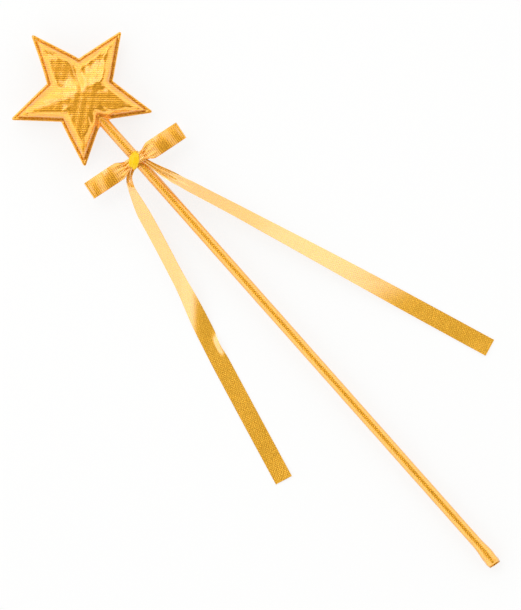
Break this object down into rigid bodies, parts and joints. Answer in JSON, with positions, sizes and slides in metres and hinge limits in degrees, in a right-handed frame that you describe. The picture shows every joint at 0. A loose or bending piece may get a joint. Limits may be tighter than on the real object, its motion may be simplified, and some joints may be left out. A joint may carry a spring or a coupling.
{
  "type": "toy magic wand",
  "caption": "Star-topped play wand: a padded gold cloth star on a cloth-covered stick, with a ribbon bow tied below it and long ribbon tails that swing and lift.",
  "frame": {"origin": "centre of the flat butt end, on the stick's axis", "axes": "+X along the stick from the butt end to the star, +Z out of the star's front, +Y to the left of the stick when the star points up and its front faces the viewer"},
  "size_m": [0.462, 0.1689, 0.0194],
  "materials": {
    "gold_cloth": "metallic gold woven cloth with fine ribs",
    "gold_ribbon": "metallic gold ribbon with fine cross ribs",
    "yellow_tie": "smooth yellow satin band",
    "gold_thread": "dull gold sewing thread",
    "bare_wood": "plain sanded dowel",
    "wadding": "loose white fibre filling"
  },
  "bodies": {
    "wand": {"wand_rod": "bare_wood", "rod_sleeve": "gold_cloth", "star_front_cover": "gold_cloth", "star_back_cover": "gold_cloth", "star_stuffing": "wadding", "star_stitching": "gold_thread", "bow_gather": "gold_ribbon", "bow_loop_left": "gold_ribbon", "bow_loop_right": "gold_ribbon", "bow_tie": "yellow_tie"},
    "left_tail_start": {"left_tail_gather": "gold_ribbon"},
    "left_tail": {"ribbon_tail_left": "gold_ribbon"},
    "right_tail_start": {"right_tail_gather": "gold_ribbon"},
    "right_tail": {"ribbon_tail_right": "gold_ribbon"}
  },
  "joints": [
    {"name": "left_tail_swing", "type": "hinge", "parent": "wand", "child": "left_tail_start", "pos_m": [0.35299, 0.00778, 0.00265], "axis": [0, 0, -1], "range_deg": [-8, 30]},
    {"name": "left_tail_lift", "type": "hinge", "parent": "left_tail_start", "child": "left_tail", "pos_m": [0.34151, 0.01249, 0.00078], "axis": [0.3418, 0.9398, 0], "range_deg": [-70, 70]},
    {"name": "right_tail_swing", "type": "hinge", "parent": "wand", "child": "right_tail_start", "pos_m": [0.35211, -0.0038, 0.00475], "axis": [0, 0, 1], "range_deg": [-4, 30]},
    {"name": "right_tail_lift", "type": "hinge", "parent": "right_tail_start", "child": "right_tail", "pos_m": [0.34046, -0.00805, 0.0026], "axis": [-0.342, 0.9397, 0], "range_deg": [-70, 70]}
  ]
}
